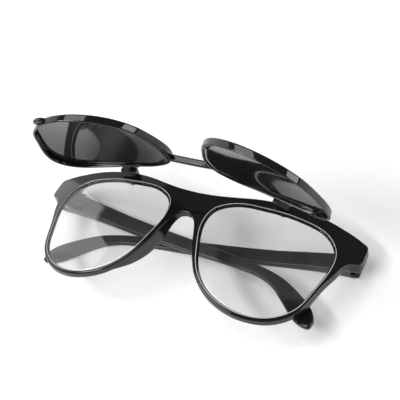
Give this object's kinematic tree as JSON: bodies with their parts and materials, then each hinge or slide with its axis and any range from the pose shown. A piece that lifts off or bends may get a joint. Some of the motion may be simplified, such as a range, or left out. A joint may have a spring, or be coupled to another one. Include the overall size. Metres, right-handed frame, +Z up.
{
  "type": "flip-up welding spectacles",
  "caption": "Black plastic safety spectacles with clear lenses, a hinged flip-up shade with dark lenses, and folding temples, lying folded with the shade raised.",
  "frame": {"origin": "on the table, under the middle of the object's box, in the rest pose", "axes": "+X to the wearer's left, +Y to the top of the spectacles (brow), +Z up, out of the front of the lenses; the spectacles lie on their folded temples"},
  "size_m": [0.1452, 0.0574, 0.078],
  "materials": {
    "frame_black": "polished black",
    "shade_black": "polished black",
    "temple_black": "moulded gloss black",
    "flip_hinge_black": "moulded satin black",
    "clear_lens": "polished clear",
    "dark_lens": "polished, near-black filter tint",
    "leaf_steel": "stamped, satin",
    "screw_steel": "turned, slotted head",
    "pin_steel": "blackened, riveted ends",
    "washer_nylon": "matt"
  },
  "bodies": {
    "front": {"front_frame": "frame_black", "clear_lens_left": "clear_lens", "clear_lens_right": "clear_lens", "flip_bracket_left": "flip_hinge_black", "flip_bracket_right": "flip_hinge_black", "flip_bracket_screw_left": "screw_steel", "flip_bracket_screw_right": "screw_steel", "flip_pin_left": "pin_steel", "flip_pin_right": "pin_steel", "friction_washer_left_outer": "washer_nylon", "friction_washer_left_inner": "washer_nylon", "friction_washer_right_outer": "washer_nylon", "friction_washer_right_inner": "washer_nylon", "front_leaf_left": "leaf_steel", "front_leaf_right": "leaf_steel", "hinge_screw_left": "screw_steel", "hinge_screw_right": "screw_steel"},
    "shade": {"shade_frame": "shade_black", "dark_lens_left": "dark_lens", "dark_lens_right": "dark_lens"},
    "left_temple": {"temple_left": "temple_black", "temple_leaf_left": "leaf_steel"},
    "right_temple": {"temple_right": "temple_black", "temple_leaf_right": "leaf_steel"}
  },
  "joints": [
    {"name": "shade_flip", "type": "hinge", "parent": "front", "child": "shade", "pos_m": [0, 0.0266, 0.0283], "axis": [-1, 0, 0], "range_deg": [-68.5, 22]},
    {"name": "left_temple_fold", "type": "hinge", "parent": "front", "child": "left_temple", "pos_m": [0.0693, 0.0179, 0.0033], "axis": [0, -1, 0], "range_deg": [0, 90]},
    {"name": "right_temple_fold", "type": "hinge", "parent": "front", "child": "right_temple", "pos_m": [-0.0693, 0.0179, 0.0033], "axis": [0, 1, 0], "range_deg": [0, 93.9]}
  ]
}
